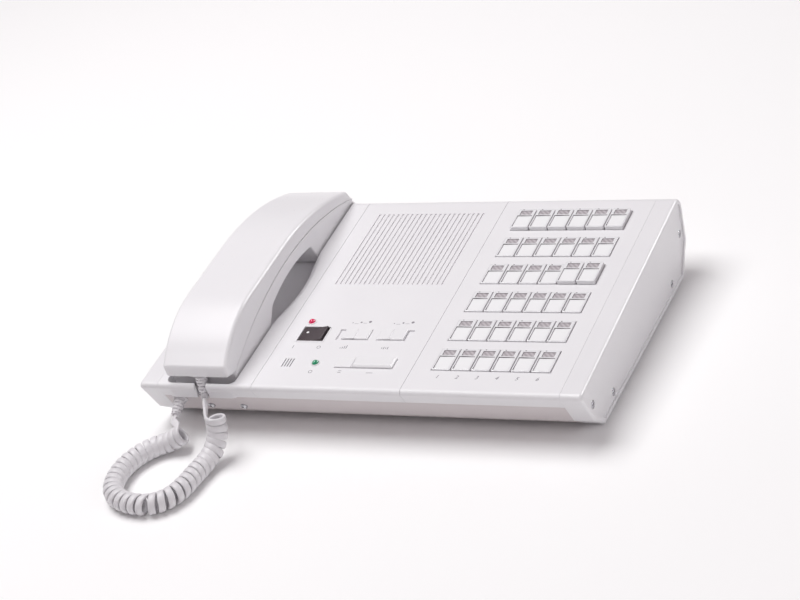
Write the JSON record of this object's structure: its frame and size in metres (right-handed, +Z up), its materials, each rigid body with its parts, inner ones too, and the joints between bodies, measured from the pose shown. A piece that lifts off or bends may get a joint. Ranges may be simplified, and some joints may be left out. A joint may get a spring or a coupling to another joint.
{
  "type": "intercom master station",
  "caption": "Desk intercom master station: a sloping case with a handset on a curly cord, loudspeaker grille, slide controls, power rocker and rows of latching station keys.",
  "frame": {"origin": "on the table under the middle of the case", "axes": "+X along the width to the right, +Y to the back, +Z up"},
  "size_m": [0.3327, 0.3126, 0.0838],
  "materials": {
    "case_plastic": "fine-textured moulded plastic",
    "handset_plastic": "satin moulded plastic",
    "control_plastic": "satin moulded plastic",
    "key_plastic": "clear cap over a white label",
    "rocker_plastic": "semi-gloss black",
    "red_lens": "translucent red",
    "green_lens": "translucent green",
    "cord_vinyl": "satin vinyl",
    "screw_chrome": "bright plated",
    "foot_rubber": "matte",
    "speaker_steel": "black painted steel",
    "board_laminate": "solder-masked laminate",
    "switch_plastic": "black moulded plastic"
  },
  "bodies": {
    "case": {"base_tray": "case_plastic", "left_end_cap": "case_plastic", "right_end_cap": "case_plastic", "cradle_cover": "case_plastic", "main_cover": "case_plastic", "key_cover": "case_plastic", "case_screws": "screw_chrome", "rubber_feet": "foot_rubber", "loudspeaker": "speaker_steel", "main_board": "board_laminate", "key_switch_bank": "switch_plastic", "power_lamp": "red_lens", "busy_lamp": "green_lens", "base_strain_relief": "cord_vinyl", "curly_cord": "cord_vinyl"},
    "handset": {"handset_upper_shell": "handset_plastic", "handset_lower_shell": "handset_plastic", "handset_strain_relief": "cord_vinyl"},
    "hook": {"hook_plunger": "control_plastic"},
    "rocker": {"power_rocker": "rocker_plastic"},
    "voice": {"voice_knob": "control_plastic"},
    "tone": {"tone_knob": "control_plastic"},
    "talk": {"talk_bar": "control_plastic"},
    "lock": {"lock_button": "control_plastic"},
    "key_01": {"station_key_01": "key_plastic"},
    "key_02": {"station_key_02": "key_plastic"},
    "key_03": {"station_key_03": "key_plastic"},
    "key_04": {"station_key_04": "key_plastic"},
    "key_05": {"station_key_05": "key_plastic"},
    "key_06": {"station_key_06": "key_plastic"},
    "key_07": {"station_key_07": "key_plastic"},
    "key_08": {"station_key_08": "key_plastic"},
    "key_09": {"station_key_09": "key_plastic"},
    "key_10": {"station_key_10": "key_plastic"},
    "key_11": {"station_key_11": "key_plastic"},
    "key_12": {"station_key_12": "key_plastic"},
    "key_13": {"station_key_13": "key_plastic"},
    "key_14": {"station_key_14": "key_plastic"},
    "key_15": {"station_key_15": "key_plastic"},
    "key_16": {"station_key_16": "key_plastic"},
    "key_17": {"station_key_17": "key_plastic"},
    "key_18": {"station_key_18": "key_plastic"},
    "key_19": {"station_key_19": "key_plastic"},
    "key_20": {"station_key_20": "key_plastic"},
    "key_21": {"station_key_21": "key_plastic"},
    "key_22": {"station_key_22": "key_plastic"},
    "key_23": {"station_key_23": "key_plastic"},
    "key_24": {"station_key_24": "key_plastic"},
    "key_25": {"station_key_25": "key_plastic"},
    "key_26": {"station_key_26": "key_plastic"},
    "key_27": {"station_key_27": "key_plastic"},
    "key_28": {"station_key_28": "key_plastic"},
    "key_29": {"station_key_29": "key_plastic"},
    "key_30": {"station_key_30": "key_plastic"},
    "key_31": {"station_key_31": "key_plastic"},
    "key_32": {"station_key_32": "key_plastic"},
    "key_33": {"station_key_33": "key_plastic"},
    "key_34": {"station_key_34": "key_plastic"},
    "key_35": {"station_key_35": "key_plastic"},
    "key_36": {"station_key_36": "key_plastic"}
  },
  "joints": [
    {"name": "handset_lift", "type": "slide", "parent": "case", "child": "handset", "axis": [0, -0.0698, 0.9976], "range_m": [0, 0.12]},
    {"name": "hook_travel", "type": "slide", "parent": "case", "child": "hook", "axis": [0, -0.0698, 0.9976], "range_m": [0, 0.004]},
    {"name": "rocker_tip", "type": "hinge", "parent": "case", "child": "rocker", "pos_m": [-0.05215, -0.05101, 0.03996], "axis": [0, 0.9976, 0.0698], "range_deg": [0, 10]},
    {"name": "voice_slide", "type": "slide", "parent": "case", "child": "voice", "axis": [1, 0, 0], "range_m": [-0.0044, 0]},
    {"name": "tone_slide", "type": "slide", "parent": "case", "child": "tone", "axis": [1, 0, 0], "range_m": [0, 0.0044]},
    {"name": "talk_press", "type": "slide", "parent": "case", "child": "talk", "axis": [0, -0.0698, 0.9976], "range_m": [-0.0025, 0], "stiffness_N_per_m": 300, "springref_m": 0.002},
    {"name": "lock_press", "type": "slide", "parent": "case", "child": "lock", "axis": [0, -0.0698, 0.9976], "range_m": [-0.0015, 0]},
    {"name": "key_01_travel", "type": "slide", "parent": "case", "child": "key_01", "axis": [0, -0.0698, 0.9976], "range_m": [0, 0.002]},
    {"name": "key_02_travel", "type": "slide", "parent": "case", "child": "key_02", "axis": [0, -0.0698, 0.9976], "range_m": [0, 0.002]},
    {"name": "key_03_travel", "type": "slide", "parent": "case", "child": "key_03", "axis": [0, -0.0698, 0.9976], "range_m": [0, 0.002]},
    {"name": "key_04_travel", "type": "slide", "parent": "case", "child": "key_04", "axis": [0, -0.0698, 0.9976], "range_m": [0, 0.002]},
    {"name": "key_05_travel", "type": "slide", "parent": "case", "child": "key_05", "axis": [0, -0.0698, 0.9976], "range_m": [0, 0.002]},
    {"name": "key_06_travel", "type": "slide", "parent": "case", "child": "key_06", "axis": [0, -0.0698, 0.9976], "range_m": [0, 0.002]},
    {"name": "key_07_travel", "type": "slide", "parent": "case", "child": "key_07", "axis": [0, -0.0698, 0.9976], "range_m": [0, 0.002]},
    {"name": "key_08_travel", "type": "slide", "parent": "case", "child": "key_08", "axis": [0, -0.0698, 0.9976], "range_m": [0, 0.002]},
    {"name": "key_09_travel", "type": "slide", "parent": "case", "child": "key_09", "axis": [0, -0.0698, 0.9976], "range_m": [0, 0.002]},
    {"name": "key_10_travel", "type": "slide", "parent": "case", "child": "key_10", "axis": [0, -0.0698, 0.9976], "range_m": [0, 0.002]},
    {"name": "key_11_travel", "type": "slide", "parent": "case", "child": "key_11", "axis": [0, -0.0698, 0.9976], "range_m": [0, 0.002]},
    {"name": "key_12_travel", "type": "slide", "parent": "case", "child": "key_12", "axis": [0, -0.0698, 0.9976], "range_m": [0, 0.002]},
    {"name": "key_13_travel", "type": "slide", "parent": "case", "child": "key_13", "axis": [0, -0.0698, 0.9976], "range_m": [0, 0.002]},
    {"name": "key_14_travel", "type": "slide", "parent": "case", "child": "key_14", "axis": [0, -0.0698, 0.9976], "range_m": [0, 0.002]},
    {"name": "key_15_travel", "type": "slide", "parent": "case", "child": "key_15", "axis": [0, -0.0698, 0.9976], "range_m": [0, 0.002]},
    {"name": "key_16_travel", "type": "slide", "parent": "case", "child": "key_16", "axis": [0, -0.0698, 0.9976], "range_m": [0, 0.002]},
    {"name": "key_17_travel", "type": "slide", "parent": "case", "child": "key_17", "axis": [0, -0.0698, 0.9976], "range_m": [0, 0.002]},
    {"name": "key_18_travel", "type": "slide", "parent": "case", "child": "key_18", "axis": [0, -0.0698, 0.9976], "range_m": [0, 0.002]},
    {"name": "key_19_travel", "type": "slide", "parent": "case", "child": "key_19", "axis": [0, -0.0698, 0.9976], "range_m": [0, 0.002]},
    {"name": "key_20_travel", "type": "slide", "parent": "case", "child": "key_20", "axis": [0, -0.0698, 0.9976], "range_m": [0, 0.002]},
    {"name": "key_21_travel", "type": "slide", "parent": "case", "child": "key_21", "axis": [0, -0.0698, 0.9976], "range_m": [0, 0.002]},
    {"name": "key_22_travel", "type": "slide", "parent": "case", "child": "key_22", "axis": [0, -0.0698, 0.9976], "range_m": [0, 0.002]},
    {"name": "key_23_travel", "type": "slide", "parent": "case", "child": "key_23", "axis": [0, -0.0698, 0.9976], "range_m": [-0.002, 0]},
    {"name": "key_24_travel", "type": "slide", "parent": "case", "child": "key_24", "axis": [0, -0.0698, 0.9976], "range_m": [-0.002, 0]},
    {"name": "key_25_travel", "type": "slide", "parent": "case", "child": "key_25", "axis": [0, -0.0698, 0.9976], "range_m": [0, 0.002]},
    {"name": "key_26_travel", "type": "slide", "parent": "case", "child": "key_26", "axis": [0, -0.0698, 0.9976], "range_m": [0, 0.002]},
    {"name": "key_27_travel", "type": "slide", "parent": "case", "child": "key_27", "axis": [0, -0.0698, 0.9976], "range_m": [0, 0.002]},
    {"name": "key_28_travel", "type": "slide", "parent": "case", "child": "key_28", "axis": [0, -0.0698, 0.9976], "range_m": [0, 0.002]},
    {"name": "key_29_travel", "type": "slide", "parent": "case", "child": "key_29", "axis": [0, -0.0698, 0.9976], "range_m": [0, 0.002]},
    {"name": "key_30_travel", "type": "slide", "parent": "case", "child": "key_30", "axis": [0, -0.0698, 0.9976], "range_m": [0, 0.002]},
    {"name": "key_31_travel", "type": "slide", "parent": "case", "child": "key_31", "axis": [0, -0.0698, 0.9976], "range_m": [-0.002, 0]},
    {"name": "key_32_travel", "type": "slide", "parent": "case", "child": "key_32", "axis": [0, -0.0698, 0.9976], "range_m": [-0.002, 0]},
    {"name": "key_33_travel", "type": "slide", "parent": "case", "child": "key_33", "axis": [0, -0.0698, 0.9976], "range_m": [-0.002, 0]},
    {"name": "key_34_travel", "type": "slide", "parent": "case", "child": "key_34", "axis": [0, -0.0698, 0.9976], "range_m": [-0.002, 0]},
    {"name": "key_35_travel", "type": "slide", "parent": "case", "child": "key_35", "axis": [0, -0.0698, 0.9976], "range_m": [-0.002, 0]},
    {"name": "key_36_travel", "type": "slide", "parent": "case", "child": "key_36", "axis": [0, -0.0698, 0.9976], "range_m": [-0.002, 0]}
  ],
  "couplings": [
    {"joint": "hook_travel", "follows": "handset_lift", "ratio": 0.033333}
  ]
}
